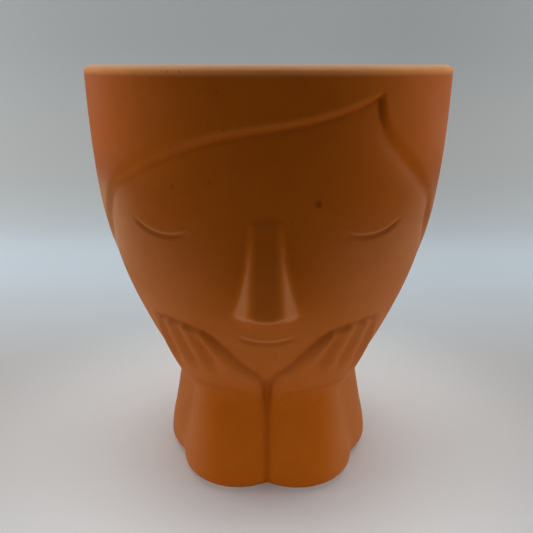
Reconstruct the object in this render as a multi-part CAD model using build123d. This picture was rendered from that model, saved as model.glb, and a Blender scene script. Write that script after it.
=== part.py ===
from build123d import *
import math
import os

# Driving sizes of the planter in millimetres. The face looks along -Y, the hair parts on +X,
# and the pads' undersides lie on Z = 0 with the pot's axis on the Z axis.
POT_HEIGHT = 140.0
RIM_RADIUS = 58.5
WALL = 3.6
LIP_ROUNDING = 1.9
FLOOR_THICKNESS = 4.5
CUT_OVERRUN = 10.0

# Hair, a layer that stands proud of the skull
HAIR_STEP = 1.2
HAIR_EDGE_BACK_SLOPE = 27.5
HAIR_EDGE_DEPTH = 26.4
HAIR_EDGE_HEIGHT = 101.0

# Nose, a wedge from an upright front plane back into the face
NOSE_TOP = 100.5
NOSE_BOTTOM = 74.2
NOSE_TOP_DEPTH = 56.5
NOSE_TIP_DEPTH = 57.7
NOSE_ROOT_DEPTH = 44.0
NOSE_BRIDGE_HALF_WIDTH = 3.6
NOSE_TIP_HALF_WIDTH = 4.7
NOSE_TIP_BOW = 1.0
NOSE_ROOT_HALF_WIDTH = 10.0
NOSE_WING_HALF_WIDTH = 13.2
NOSE_WING_BOTTOM = 70.6
NOSE_WING_BOW = 6.6
NOSE_ROUNDING = 1.5

# Closed eyes and mouth, grooves pressed into the face
EYE_GROOVE_RADIUS = 0.75
MOUTH_GROOVE_RADIUS = 0.8
EYE_INNER_HEIGHT = 96.2
EYE_LOW_HEIGHT = 94.8
EYE_OUTER_HEIGHT = 97.8
MOUTH_END_HEIGHT = 61.3
MOUTH_LOW_HEIGHT = 59.3

# Hands that hold the cheeks
PALM_RISE = 1.8
FINGER_RISE = 2.2
FINGER_ROOT_RISE = 0.6
FINGER_RADIUS = 3.1
HAND_TOP = 66.0

# Neck and forearms, which make the foot of the pot
NECK_HALF_WIDTH = 37.7
NECK_HALF_DEPTH = 28.5
NECK_TOP = 44.0
FOREARM_RADIUS = 20.2
FOREARM_SPREAD = 10.5
WRIST_SPREAD = 9.0
FOREARM_DEPTH = 17.0
FOREARM_TOP = 44.0
FOOT_ROUNDING = 2.5

# Underside recess, drain hole, stopper and pads
RECESS_RADIUS = 18.0
RECESS_DEPTH = 2.5
DRAIN_RADIUS = 6.0
PLUG_CLEARANCE = 0.1
PLUG_FLANGE_RADIUS = 10.0
PLUG_FLANGE_THICKNESS = 2.0
PLUG_TIP_LENGTH = 1.2
PLUG_TIP_CHAMFER = 0.8
PLUG_GRIP_RADIUS = 3.2
PLUG_GRIP_HEIGHT = 4.5
PLUG_ROUNDING = 0.7
PAD_RADIUS = 5.0
PAD_THICKNESS = 0.8
FRONT_PAD_SPREAD = 14.0
FRONT_PAD_DEPTH = 19.0
REAR_PAD_SPREAD = 19.0
REAR_PAD_DEPTH = 14.0

SKULL_RADIUS = RIM_RADIUS - HAIR_STEP
FOOT_PLANE = PAD_THICKNESS
RECESS_PLANE = FOOT_PLANE + RECESS_DEPTH
WELL_FLOOR = RECESS_PLANE + FLOOR_THICKNESS

# Skull outline, shares of the skull radius and of the pot height, from the neck up to the rim
SKULL_SHARES = [
    (0.541, 0.236),
    (0.615, 0.286),
    (0.709, 0.357),
    (0.789, 0.429),
    (0.858, 0.500),
    (0.897, 0.571),
    (0.955, 0.679),
    (0.989, 0.821),
    (1.000, 1.000),
]

# Fringe line, shares of the skull radius and of the pot height, from the left temple to the tip
FRINGE_SHARES = [
    (-0.850, 0.700),
    (-0.776, 0.759),
    (-0.665, 0.781),
    (-0.543, 0.811),
    (-0.288, 0.856),
    (0.000, 0.883),
    (0.283, 0.905),
    (0.506, 0.939),
]
PARTING_SHARES = [
    (0.506, 0.939),
    (0.574, 0.865),
    (0.702, 0.806),
    (0.824, 0.752),
    (0.878, 0.700),
]

# Palm edge, shares of the skull radius and of the hand's top, from the chin up the little finger
# and back along the finger roots
PALM_SHARES = [
    (0.014, 0.500),
    (0.026, 0.666),
    (0.061, 0.715),
    (0.133, 0.770),
    (0.197, 0.836),
    (0.262, 0.904),
    (0.300, 0.732),
    (0.420, 0.704),
    (0.540, 0.689),
    (0.530, 0.500),
]

# Fingers from the little finger outwards: azimuth of tip and root in degrees, and their height
# shares of the hand's top
FINGER_AZIMUTHS = [(25.5, 19.5), (33.0, 29.0), (40.0, 39.5), (47.5, 50.0)]
FINGER_HEIGHT_SHARES = [(0.918, 0.670), (0.938, 0.645), (0.942, 0.635), (0.950, 0.635)]

# Eye and mouth ends, azimuth in degrees
EYE_AZIMUTHS = (22.3, 33.0, 44.5)
MOUTH_AZIMUTHS = (-12.4, 0.0, 12.4)

# Neck sections, shares of the neck's height and of its half width and half depth
NECK_SHARES = [
    (0.00, 0.995),
    (0.06, 1.000),
    (0.20, 0.987),
    (0.37, 0.947),
    (0.54, 0.910),
    (0.75, 0.870),
    (1.00, 0.820),
]

# Forearm sections, shares of the forearm's height and of its radius
FOREARM_SHARES = [(0.0, 0.985), (0.1, 1.0), (0.3, 0.915), (0.62, 0.79), (1.0, 0.72)]

# The jaw part of the skull outline that a hand covers
HAND_LAYER_POINTS = 5


def skull_outline():
    """Outside of the skull as (radius, height) points."""
    return [(radius * SKULL_RADIUS, height * POT_HEIGHT) for radius, height in SKULL_SHARES]


def grown(points, amount):
    """Outline moved outwards, square to its own run, or inwards where the amount is negative."""
    moved = []
    last = len(points) - 1
    for index, (radius, height) in enumerate(points):
        before = points[max(index - 1, 0)]
        after = points[min(index + 1, last)]
        run = Vector(after[0] - before[0], after[1] - before[1]).normalized()
        moved.append((radius + amount * run.Y, height - amount * run.X))
    return moved


def turned(points):
    """Solid of revolution about the pot's axis, inside a smooth outline of (radius, height)."""
    low = points[0]
    high = points[-1]
    side = Spline(*[(radius, 0, height) for radius, height in points])
    lid = Polyline((high[0], 0, high[1]), (0, 0, high[1]), (0, 0, low[1]), (low[0], 0, low[1]))
    return revolve(make_face(side + lid), axis=Axis.Z)


def skull_radius(height):
    """Outside radius of the skull at a height, between the outline's points."""
    points = skull_outline()
    for low, high in zip(points, points[1:]):
        if height <= high[1]:
            share = (height - low[1]) / (high[1] - low[1])
            return low[0] + share * (high[0] - low[0])
    return points[-1][0]


def on_skull(azimuth, height, sink=0.0):
    """Point on the skull at an azimuth from the front towards +X, sunk below the surface."""
    radius = skull_radius(height) - sink
    angle = math.radians(azimuth)
    return Vector(radius * math.sin(angle), -radius * math.cos(angle), height)


def front_prism(outline):
    """Prism through the front half of the pot, on an outline drawn across and up on its axis."""
    return extrude(make_face(outline), amount=RIM_RADIUS + CUT_OVERRUN, dir=(0, -1, 0))


def squared_top(points):
    """Outline whose last point is set level with the rim."""
    return points[:-1] + [(points[-1][0], POT_HEIGHT)]


def on_axis_plane(shares, height):
    """Places across and up on the upright plane through the axis, from shares of a height."""
    return [(across * SKULL_RADIUS, 0, up * height) for across, up in shares]


def face_window():
    """Space in front of the face that the hair layer leaves open."""
    fringe = Spline(*on_axis_plane(FRINGE_SHARES, POT_HEIGHT))
    parting = Spline(*on_axis_plane(PARTING_SHARES, POT_HEIGHT))
    wide = RIM_RADIUS + CUT_OVERRUN
    left = fringe @ 0
    right = parting @ 1
    rest = Polyline(
        right,
        (wide, 0, right.Z - CUT_OVERRUN),
        (wide, 0, -CUT_OVERRUN),
        (-wide, 0, -CUT_OVERRUN),
        (-wide, 0, left.Z - CUT_OVERRUN),
        left,
    )
    before = front_prism(fringe + parting + rest)
    lean = math.tan(math.radians(HAIR_EDGE_BACK_SLOPE))
    top_edge = -HAIR_EDGE_DEPTH - lean * (POT_HEIGHT - HAIR_EDGE_HEIGHT)
    low_edge = -HAIR_EDGE_DEPTH + lean * HAIR_EDGE_HEIGHT
    side = Polyline(
        (0, -wide, 0),
        (0, -wide, POT_HEIGHT),
        (0, top_edge, POT_HEIGHT),
        (0, low_edge, 0),
        close=True,
    )
    slab = extrude(make_face(side), amount=wide, dir=(1, 0, 0), both=True)
    return (before + mirror(before, about=Plane.XZ)) & slab


def hair():
    """Hair layer round the skull, open over the face."""
    return turned(squared_top(grown(skull_outline(), HAIR_STEP))) - face_window()


def nose_section(depths, half_widths, bottom, bow):
    """Section of the nose, level on top, with flanks that spread and a bowed underside."""
    top_depth, low_depth = depths
    top_half_width, low_half_width = half_widths
    lean = (low_depth - top_depth) / (NOSE_TOP - bottom)
    flanks = Polyline(
        (low_half_width, -low_depth, bottom),
        (top_half_width, -top_depth, NOSE_TOP),
        (-top_half_width, -top_depth, NOSE_TOP),
        (-low_half_width, -low_depth, bottom),
    )
    underside = ThreePointArc(flanks @ 0, (0, -low_depth - lean * bow, bottom - bow), flanks @ 1)
    return make_face(flanks + underside)


def nose():
    """Wedge nose with a nearly upright front plane and a sloped underside."""
    front = nose_section(
        (NOSE_TOP_DEPTH, NOSE_TIP_DEPTH),
        (NOSE_BRIDGE_HALF_WIDTH, NOSE_TIP_HALF_WIDTH),
        NOSE_BOTTOM,
        NOSE_TIP_BOW,
    )
    root = nose_section(
        (NOSE_ROOT_DEPTH, NOSE_ROOT_DEPTH),
        (NOSE_ROOT_HALF_WIDTH, NOSE_WING_HALF_WIDTH),
        NOSE_WING_BOTTOM,
        NOSE_WING_BOW,
    )
    wedge = loft([front, root], ruled=True)
    front_edges = wedge.faces().sort_by(Axis.Y)[0].edges()
    return fillet(front_edges, radius=NOSE_ROUNDING)


def bent_tube(start, middle, end, tube_radius):
    """Tube on an arc through three points."""
    path = ThreePointArc(start, middle, end)
    return sweep(Plane(origin=start, z_dir=path % 0) * Circle(tube_radius), path=path)


def groove(azimuths, heights, tube_radius):
    """Cutter for a rounded groove along the skull, through three places, that fades at its ends."""
    start, middle, end = map(on_skull, azimuths, heights, (-tube_radius, 0, -tube_radius))
    return bent_tube(start, middle, end, tube_radius)


def eye_groove():
    """Closed eye on the +X side, a shallow arc that hangs between its ends."""
    return groove(EYE_AZIMUTHS, (EYE_INNER_HEIGHT, EYE_LOW_HEIGHT, EYE_OUTER_HEIGHT), EYE_GROOVE_RADIUS)


def mouth_groove():
    """Small smile, a shallow arc under the nose."""
    heights = (MOUTH_END_HEIGHT, MOUTH_LOW_HEIGHT, MOUTH_END_HEIGHT)
    return groove(MOUTH_AZIMUTHS, heights, MOUTH_GROOVE_RADIUS)


def finger(azimuths, heights):
    """One finger lying on the cheek, proud at its rounded tip and sunk in the palm at its root."""
    tip_sink = FINGER_RADIUS - FINGER_RISE
    root_sink = FINGER_RADIUS - FINGER_ROOT_RISE
    tip = on_skull(azimuths[0], heights[0], tip_sink)
    middle = on_skull(sum(azimuths) / 2, sum(heights) / 2, tip_sink)
    root = on_skull(azimuths[1], heights[1], root_sink)
    tube = bent_tube(tip, middle, root, FINGER_RADIUS)
    return tube + Pos(*tip) * Sphere(FINGER_RADIUS) + Pos(*root) * Sphere(FINGER_RADIUS)


def hand():
    """Hand on the +X cheek: a palm layer on the jaw and four fingers."""
    layer = turned(grown(skull_outline()[:HAND_LAYER_POINTS], PALM_RISE))
    outline = Polyline(*on_axis_plane(PALM_SHARES, HAND_TOP), close=True)
    whole = layer & front_prism(outline)
    for azimuths, shares in zip(FINGER_AZIMUTHS, FINGER_HEIGHT_SHARES):
        whole += finger(azimuths, [share * HAND_TOP for share in shares])
    return whole


def neck(inset=0.0):
    """Rear mass of the foot, oval in plan and flared towards the ground."""
    sections = []
    for level, spread in NECK_SHARES:
        oval = Ellipse(NECK_HALF_WIDTH * spread - inset, NECK_HALF_DEPTH * spread - inset)
        sections.append(Pos(0, 0, FOOT_PLANE + level * (NECK_TOP - FOOT_PLANE)) * oval)
    return loft(sections)


def forearm(inset=0.0):
    """Round forearm on the +X side, narrower and nearer to its twin at the wrist."""
    sections = []
    for level, thickness in FOREARM_SHARES:
        across = FOREARM_SPREAD + level * (WRIST_SPREAD - FOREARM_SPREAD)
        height = FOOT_PLANE + level * (FOREARM_TOP - FOOT_PLANE)
        sections.append(Pos(across, -FOREARM_DEPTH, height) * Circle(FOREARM_RADIUS * thickness - inset))
    return loft(sections)


def both_sides(piece):
    """A +X piece and its mirror image on the -X side."""
    return [piece, mirror(piece, about=Plane.YZ)]


def foot():
    """Neck and forearms in one mass, with the edge round the underside softened."""
    mass = neck()
    for arm in both_sides(forearm()):
        mass += arm
    underside = mass.faces().sort_by(Axis.Z)[0]
    return fillet(underside.edges(), radius=FOOT_ROUNDING)


def outside():
    """Whole outer form of the pot, before it is hollowed."""
    form = turned(squared_top(skull_outline())) + hair() + nose() + foot()
    for palm in both_sides(hand()):
        form += palm
    for eye in both_sides(eye_groove()):
        form -= eye
    return form - mouth_groove()


def cavity():
    """Inside of the casting, which follows the skull, the neck and the forearms."""
    outline = grown(skull_outline(), -WALL)
    outline[-1] = (outline[-1][0], POT_HEIGHT + CUT_OVERRUN)
    space = turned(outline) + neck(WALL)
    for arm in both_sides(forearm(WALL)):
        space += arm
    wide = 2 * (RIM_RADIUS + CUT_OVERRUN)
    tall = POT_HEIGHT + 2 * CUT_OVERRUN
    upright = (Align.CENTER, Align.CENTER, Align.MIN)
    return space & Pos(0, 0, WELL_FLOOR) * Box(wide, wide, tall, align=upright)


def drain_cut():
    """Shallow recess under the foot with the drain hole through its middle."""
    upright = (Align.CENTER, Align.CENTER, Align.MIN)
    recess = Cylinder(RECESS_RADIUS, RECESS_DEPTH + CUT_OVERRUN, align=upright)
    hole = Cylinder(DRAIN_RADIUS, WELL_FLOOR + CUT_OVERRUN, align=upright)
    return Pos(0, 0, FOOT_PLANE - CUT_OVERRUN) * recess + hole


def pot_body():
    """Slip-cast head planter in one piece, open at the rim and drained through its floor."""
    body = outside() - cavity() - drain_cut()
    rim = body.faces().filter_by(Plane.XY).sort_by(Axis.Z)[-1]
    return fillet(rim.edges(), radius=LIP_ROUNDING)


def drain_plug():
    """Rubber stopper that drops into the drain hole from inside and rests on its flange."""
    upright = (Align.CENTER, Align.CENTER, Align.MIN)
    stem_radius = DRAIN_RADIUS - PLUG_CLEARANCE
    stem = Cylinder(stem_radius, FLOOR_THICKNESS + PLUG_TIP_LENGTH, align=upright)
    stem = chamfer(stem.edges().sort_by(Axis.Z)[0], length=PLUG_TIP_CHAMFER)
    flange = Cylinder(PLUG_FLANGE_RADIUS, PLUG_FLANGE_THICKNESS, align=upright)
    flange = fillet(flange.edges().sort_by(Axis.Z)[-1], radius=PLUG_ROUNDING)
    grip = Cylinder(PLUG_GRIP_RADIUS, PLUG_FLANGE_THICKNESS + PLUG_GRIP_HEIGHT, align=upright)
    grip = fillet(grip.edges().sort_by(Axis.Z)[-1], radius=PLUG_ROUNDING)
    low = Pos(0, 0, RECESS_PLANE - PLUG_TIP_LENGTH) * stem
    return low + Pos(0, 0, WELL_FLOOR) * (flange + grip)


def foot_pad(across, ahead):
    """Thin round pad under the foot."""
    upright = (Align.CENTER, Align.CENTER, Align.MIN)
    return Pos(across, ahead, 0) * Cylinder(PAD_RADIUS, PAD_THICKNESS, align=upright)


def planter():
    """Every separate piece of the planter under its name."""
    return {
        "pot_body": pot_body(),
        "drain_plug": drain_plug(),
        "foot_pad_front_left": foot_pad(-FRONT_PAD_SPREAD, -FRONT_PAD_DEPTH),
        "foot_pad_front_right": foot_pad(FRONT_PAD_SPREAD, -FRONT_PAD_DEPTH),
        "foot_pad_rear_left": foot_pad(-REAR_PAD_SPREAD, REAR_PAD_DEPTH),
        "foot_pad_rear_right": foot_pad(REAR_PAD_SPREAD, REAR_PAD_DEPTH),
    }


os.makedirs("parts", exist_ok=True)
for name, piece in planter().items():
    export_step(piece, f"parts/{name}.step")
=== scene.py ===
import math

import bpy
import numpy as np
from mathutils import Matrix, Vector


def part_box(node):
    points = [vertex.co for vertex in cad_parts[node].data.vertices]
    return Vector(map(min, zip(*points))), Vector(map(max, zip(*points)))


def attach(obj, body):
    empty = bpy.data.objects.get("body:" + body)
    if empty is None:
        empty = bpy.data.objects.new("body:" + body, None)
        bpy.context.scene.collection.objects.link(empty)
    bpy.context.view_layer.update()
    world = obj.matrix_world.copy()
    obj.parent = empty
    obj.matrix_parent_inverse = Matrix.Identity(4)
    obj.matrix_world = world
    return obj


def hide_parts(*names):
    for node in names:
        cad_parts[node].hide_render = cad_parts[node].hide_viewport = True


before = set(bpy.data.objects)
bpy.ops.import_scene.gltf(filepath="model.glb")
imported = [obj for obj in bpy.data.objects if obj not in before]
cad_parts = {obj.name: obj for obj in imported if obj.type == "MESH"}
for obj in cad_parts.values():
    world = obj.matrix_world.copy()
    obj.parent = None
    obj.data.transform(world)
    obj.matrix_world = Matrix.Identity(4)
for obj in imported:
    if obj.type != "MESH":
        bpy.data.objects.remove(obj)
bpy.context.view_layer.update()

# Sizes are in millimetres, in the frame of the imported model: the face looks along -Y and the hair
# parts on +X. Azimuths are 0 at the face and grow towards +X, in degrees in the values and in radians
# in the functions. The pair of values of a step says where it leaves 0 and where it reaches 1.
MM = 0.001
_, POT_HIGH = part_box("pot_body")
POT_HEIGHT = POT_HIGH[2] / MM
RIM_RADIUS = 58.47
WALL = 3.6
HAIR_STEP = 1.2
SKULL_RADIUS = RIM_RADIUS - HAIR_STEP

# Lip: rounding of its inner edge, and its outer edge as steps in from the rim and under the top
LIP_ROUNDING = 2.38
LIP_PROFILE = [
    (0.03, 1.80),
    (0.10, 1.48),
    (0.22, 1.24),
    (0.40, 1.02),
    (0.66, 0.79),
    (0.97, 0.56),
    (1.33, 0.34),
    (1.78, 0.14),
    (LIP_ROUNDING, 0.0),
]

# Underside, drain hole and floor of the soil well, with their bevels and the rows over the floor
FOOT_PLANE = 0.8
FOOT_ROUNDING = 3.2
RECESS_RADIUS = 18.0
RECESS_DEPTH = 2.5
RECESS_PLANE = FOOT_PLANE + RECESS_DEPTH
RECESS_CORNER = 0.8
RECESS_BEVEL = 0.5
DRAIN_RADIUS = 6.0
DRAIN_TOP_BEVEL = 0.5
DRAIN_LOW_BEVEL = 0.4
FLOOR_THICKNESS = 4.5
WELL_FLOOR = RECESS_PLANE + FLOOR_THICKNESS
WELL_ROUNDING = 3.0
WELL_FLOOR_SHARES = (0.35, 0.7, 0.92)

# Skull outline, shares of the skull radius and of the pot height
SKULL_SHARES = [
    (0.541, 0.236),
    (0.615, 0.286),
    (0.709, 0.357),
    (0.789, 0.429),
    (0.858, 0.500),
    (0.911, 0.571),
    (0.958, 0.679),
    (0.989, 0.821),
    (0.9985, 0.930),
    (1.000, 1.000),
]
SKULL_TABLE = [(up * POT_HEIGHT, out * SKULL_RADIUS) for out, up in SKULL_SHARES]
# Reach up and down over which the outline's slope is taken
SLOPE_REACH = 0.5

# Neck, the rear mass of the foot: shares of its height and of its spread
NECK_HALF_WIDTH = 37.7
NECK_HALF_DEPTH = 28.5
NECK_TOP = 44.0
NECK_SHARES = [
    (0.00, 0.995),
    (0.06, 1.000),
    (0.20, 0.987),
    (0.37, 0.947),
    (0.54, 0.910),
    (0.75, 0.870),
    (1.00, 0.820),
]

# Forearms, tapered columns that lean towards each other: shares of their height and of their radius
FOREARM_RADIUS = 20.2
FOREARM_SPREAD = 10.5
FOREARM_DEPTH = 17.0
FOREARM_TOP = 46.0
FOREARM_SHARES = [(0.0, 0.985), (0.1, 1.0), (0.3, 0.915), (0.62, 0.785), (1.0, 0.70)]
WRIST_SPREAD = 9.0

# Line between the two arms, pressed into the front of the foot, and its fade at the top
ARM_LINE_DEPTH = 0.55
ARM_LINE_WIDTH = 0.9
ARM_LINE_FADE = (46.0, 43.0)

# How softly the masses run into each other
GROOVE_BLEND = 3.4
ARM_BLEND = 2.4
JAW_BLEND = 1.8
NOSE_BLEND = 1.0

# Nose, a wedge from a narrow front plane back into the face, with the rounding of its edges
NOSE_TOP = 100.5
NOSE_BOTTOM = 73.5
NOSE_TOP_DEPTH = 55.65
NOSE_TIP_DEPTH = 57.5
NOSE_ROOT_DEPTH = 44.0
NOSE_BRIDGE_HALF_WIDTH = 3.6
NOSE_TIP_HALF_WIDTH = 4.3
NOSE_TIP_BOW = 0.7
NOSE_ROOT_HALF_WIDTH = 10.0
NOSE_WING_HALF_WIDTH = 13.2
NOSE_WING_BOTTOM = 70.6
NOSE_WING_BOW = 6.6
NOSE_OVERRUN_SHARE = 0.2
NOSE_FLANK_SLOPE = 0.78
NOSE_UNDER_SLOPE = 0.86
NOSE_BRIDGE_EDGE_BLEND = 1.045
NOSE_TIP_EDGE_BLEND = 1.9
NOSE_UNDER_BLEND = 1.1
NOSE_TOP_BLEND = 1.0

# Hairline over the forehead: shares of the skull radius and of the pot height, and the bevel's width
FRINGE_LINE = [
    (-0.832, 0.716, 1.5),
    (-0.786, 0.751, 2.2),
    (-0.675, 0.781, 5.4),
    (-0.555, 0.811, 5.4),
    (-0.422, 0.837, 4.6),
    (-0.302, 0.856, 3.5),
    (-0.166, 0.872, 2.8),
    (-0.014, 0.883, 2.3),
    (0.138, 0.893, 2.2),
    (0.269, 0.905, 2.1),
    (0.380, 0.919, 2.0),
    (0.459, 0.932, 1.8),
    (0.500, 0.942, 1.4),
]
PARTING_LINE = [
    (0.500, 0.942, 1.2),
    (0.521, 0.905, 1.6),
    (0.576, 0.865, 2.6),
    (0.645, 0.834, 3.2),
    (0.711, 0.806, 3.2),
    (0.774, 0.777, 3.2),
    (0.821, 0.752, 3.0),
    (0.868, 0.722, 2.6),
]
FRINGE_POINTS = 90
PARTING_POINTS = 50

# Hairline down each side: its lean, a place that it passes, its ends, and its bevel low and high up
HAIR_EDGE_BACK_SLOPE = 27.5
HAIR_EDGE_DEPTH = 26.4
HAIR_EDGE_HEIGHT = 101.0
SIDE_ENDS = (20.0, 93.0)
SIDE_POINTS = 18
SIDE_POINTS_IN_FRINGE = 3
SIDE_BEVELS = (11.0, 1.8)
SIDE_BEVEL_STEP = (66.0, 90.0)

# Bevel of the hair's edge: how far a narrow one is eased, and the widths at which it turns soft
BEVEL_EASED_SHARE = 0.55
BEVEL_SOFT_STEP = (3.5, 8.5)
# Beside the parting the hair rises slowly: where it does so, its first rise as a share of the
# bevel's width, and the width of the rest
PARTING_AZIMUTH_STEP = (29.9, 34.9)
PARTING_HEIGHT_STEP = (92.0, 100.0)
PARTING_BEVEL_SHARE = 0.8
PARTING_WIDTH = 15.0
# Share by which the hair layer thins towards the jaw, the height at which it does so most, and its reach
HAIR_THINNING = (0.75, 80.0, 12.0)
HAIR_END_STEP = (36.0, 50.0)

# Crease under the hair's edge, and its strength by azimuth
HAIR_CREASE_DEPTH = 0.17
HAIR_CREASE_WIDTH = 0.8
HAIR_CREASE_STEP = (40.0, 60.0)
HAIR_CREASE = [
    (-90.0, 0.2),
    (-60.0, 0.35),
    (-35.0, 0.5),
    (-15.0, 0.7),
    (10.0, 0.9),
    (31.5, 0.9),
    (34.0, 0.4),
    (90.0, 0.25),
]
# How far the face dips towards the hair's edge, by azimuth, and over what width
HAIR_DIP = [
    (-90.0, 0.45),
    (-60.0, 0.45),
    (-47.0, 0.0),
    (30.5, 0.0),
    (34.0, 0.5),
    (52.0, 0.5),
    (90.0, 0.4),
]
HAIR_DIP_WIDTH = 4.0
HAIR_DIP_STEP = (83.0, 92.0)

# Hand outline as azimuth and height, from the chin along the little finger, over the fingertips
# and down the outer side to the wrist
HAND_LINE = [
    (0.9, 30.0),
    (1.1, 38.0),
    (2.0, 43.0),
    (5.0, 47.0),
    (10.4, 50.8),
    (14.9, 55.2),
    (19.0, 59.6),
    (22.2, 62.4),
    (24.6, 63.7),
    (28.3, 64.1),
    (32.5, 65.1),
    (36.5, 64.9),
    (39.7, 65.4),
    (44.0, 64.9),
    (47.0, 65.0),
    (49.2, 63.4),
    (50.8, 60.5),
    (52.2, 56.5),
    (53.6, 52.0),
    (55.0, 46.0),
    (56.5, 40.0),
    (57.5, 30.0),
]
HAND_POINTS = 120
# Radius of the skull at the hands, about, at which their outline is measured
HAND_RADIUS = 40.0
HAND_RISE = 1.8
HAND_EDGE = 2.8
HAND_CREASE_DEPTH = 0.26
HAND_CREASE_WIDTH = 1.0

# Valleys between the fingers: tip azimuth and height, root azimuth and height, and their fade
# towards the root by share of their length
FINGER_VALLEYS = [
    (28.3, 63.6, 21.8, 44.8),
    (36.6, 64.4, 34.0, 42.5),
    (44.2, 65.2, 46.8, 41.5),
]
VALLEY_POINTS = 12
VALLEY_WIDTH = 2.4
VALLEY_DEPTH = 1.4
VALLEY_STEP = (1.0, 0.58)

# Rounded back of the little finger: rise, distance from the crease, width, and its ends by azimuth
FINGER_BULGE_RISE = 0.45
FINGER_BULGE_PLACE = (3.3, 1.7)
FINGER_BULGE_INNER_STEP = (13.0, 19.0)
FINGER_BULGE_OUTER_STEP = (31.0, 27.0)

# Grooves of the closed eyes and the mouth: azimuth and height, then half width and depth
EYE_LINE = [
    (22.3, 96.7),
    (27.0, 95.1),
    (31.0, 94.7),
    (35.0, 94.9),
    (39.0, 95.8),
    (43.3, 97.8),
    (44.6, 98.6),
]
MOUTH_LINE = [(-11.6, 62.9), (-5.8, 61.3), (0.0, 60.7), (5.8, 61.3), (11.6, 62.9)]
EYE_GROOVE = (1.0, 0.72)
MOUTH_GROOVE = (1.3, 0.6)
GROOVE_POINTS = 24
# Fade at each end by share of the groove's length
GROOVE_END_STEP = (-0.033, 0.187)
# Shares of the groove's half width for its cut, and for the place and width of its raised lips and
# of the painted highlight above it, with the lips' height as a share of the depth
GROOVE_CUT_SHARE = 0.62
GROOVE_LIP_SHARES = (1.6, 1.0)
GROOVE_LIP_HEIGHT_SHARE = 0.16
GROOVE_HIGHLIGHT_SHARES = (0.75, 0.4)

# Painted shade and highlight marks: above 0 painted shade darkens the creases, below 0 a painted highlight
# lightens the edges
HAIR_CREASE_MARK = 0.8
HAND_CREASE_MARK = 0.45
VALLEY_MARK = 0.25
GROOVE_MARK = 0.08
GROOVE_HIGHLIGHT_MARK = 0.5
ARM_LINE_MARK = 0.45
# The line between the arms gets painted shade wider than it is pressed: its distances count by this share
ARM_LINE_MARK_SHARE = 0.55
# Height below which only the arms' line and the wrists get painted shade
MARK_FLOOR = 41.0
# Wrist crease, only as painted shade: strength, height, width, and its ends by azimuth
WRIST_MARK = 0.36
WRIST_PLACE = (38.6, 1.3)
WRIST_INNER_STEP = (6.0, 12.0)
WRIST_OUTER_STEP = (48.0, 42.0)
# Painted highlight on the face along the hair's edge: strength by azimuth, distance, width and lower end
HAIR_EDGE_HIGHLIGHT = [
    (-90.0, 0.9),
    (-72.0, 0.6),
    (-63.0, 0.2),
    (-52.0, 0.0),
    (31.0, 0.0),
    (36.0, 0.22),
    (56.0, 0.18),
    (90.0, 0.25),
]
HAIR_HIGHLIGHT_PLACE = (2.1, 1.9)
HAIR_HIGHLIGHT_STEP = (62.0, 72.0)
# Painted highlight on the edge of the fringe: strength, distance and width, and its ends by azimuth
FRINGE_HIGHLIGHT_MARK = 0.18
FRINGE_HIGHLIGHT_PLACE = (1.6, 1.0)
FRINGE_LEFT_STEP = (-62.0, -48.0)
FRINGE_RIGHT_STEP = (32.0, 26.0)
# Painted highlights on the nose: its flanks at the bridge and at the tip, its front, and its edges
NOSE_FLANK_MARKS = (0.66, 0.40)
NOSE_FLANK_STEP = (-0.7, 2.1)
NOSE_FLANK_PROUD_STEP = (0.1, 1.4)
NOSE_FRONT_MARK = 0.12
NOSE_FRONT_PROUD_STEP = (0.6, 2.8)
NOSE_EDGE_MARK = 0.5
NOSE_EDGE_WIDTH = 0.8
NOSE_EDGE_DROP = 0.4
NOSE_EDGE_END = (9.4, 72.0)
NOSE_LOWER_EDGE_STEP = (10.4, 8.0)
NOSE_UPPER_EDGE_STEP = (4.4, 2.8)
NOSE_UPPER_EDGE_SHARE = 0.25

# Mesh density: columns round the pot, every fourth one inside, wide behind the face; rows up the wall
# by height, closer at the eyes and the mouth; steps of the round edges
COLUMNS = 384
COARSE_STEP = 4
FINE_AZIMUTH = 78.0
COLUMN_FADE_RADIANS = 0.5
REAR_SPACING = 3.6
ROW_SPACING = 0.68
FOOT_ROW_SPACING = 0.9
FOOT_ROWS_TOP = 34.0
CLOSE_ROW_SPACING = 0.4
CLOSE_ROWS = (96.0, 60.0)
CLOSE_ROWS_STEP = (4.0, 7.0)
INNER_ROWS = 46
DENSITY_SAMPLES = 4001
EDGE_STEPS = 7
WELL_STEPS = 5
SOLVE_STEPS = 22
SOLVE_MARGIN = 8.0


def eased(share):
    """Smooth ramp from 0 to 1."""
    share = np.clip(share, 0.0, 1.0)
    return share * share * (3.0 - 2.0 * share)


def step(value, start, end):
    """Smooth ramp from 0 at a start to 1 at an end."""
    return eased((value - start) / (end - start))


def bell(value, middle, width):
    """Rounded bump, 1 at its middle."""
    return np.exp(-(((value - middle) / width) ** 2))


def between(low, high, share):
    """Value between two ends at a share."""
    return low + (high - low) * share


def by_azimuth(table, azimuth):
    """Value from a table of azimuths and values."""
    return np.interp(azimuth, *zip(*table))


def soft_min(a, b, blend):
    """Union of two fields with a filleted joint of the given width."""
    share = np.clip(0.5 + 0.5 * (b - a) / blend, 0.0, 1.0)
    return b + (a - b) * share - blend * share * (1.0 - share)


def soft_max(a, b, blend):
    """Common part of two fields with a rounded edge of the given width."""
    return -soft_min(-a, -b, blend)


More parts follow.
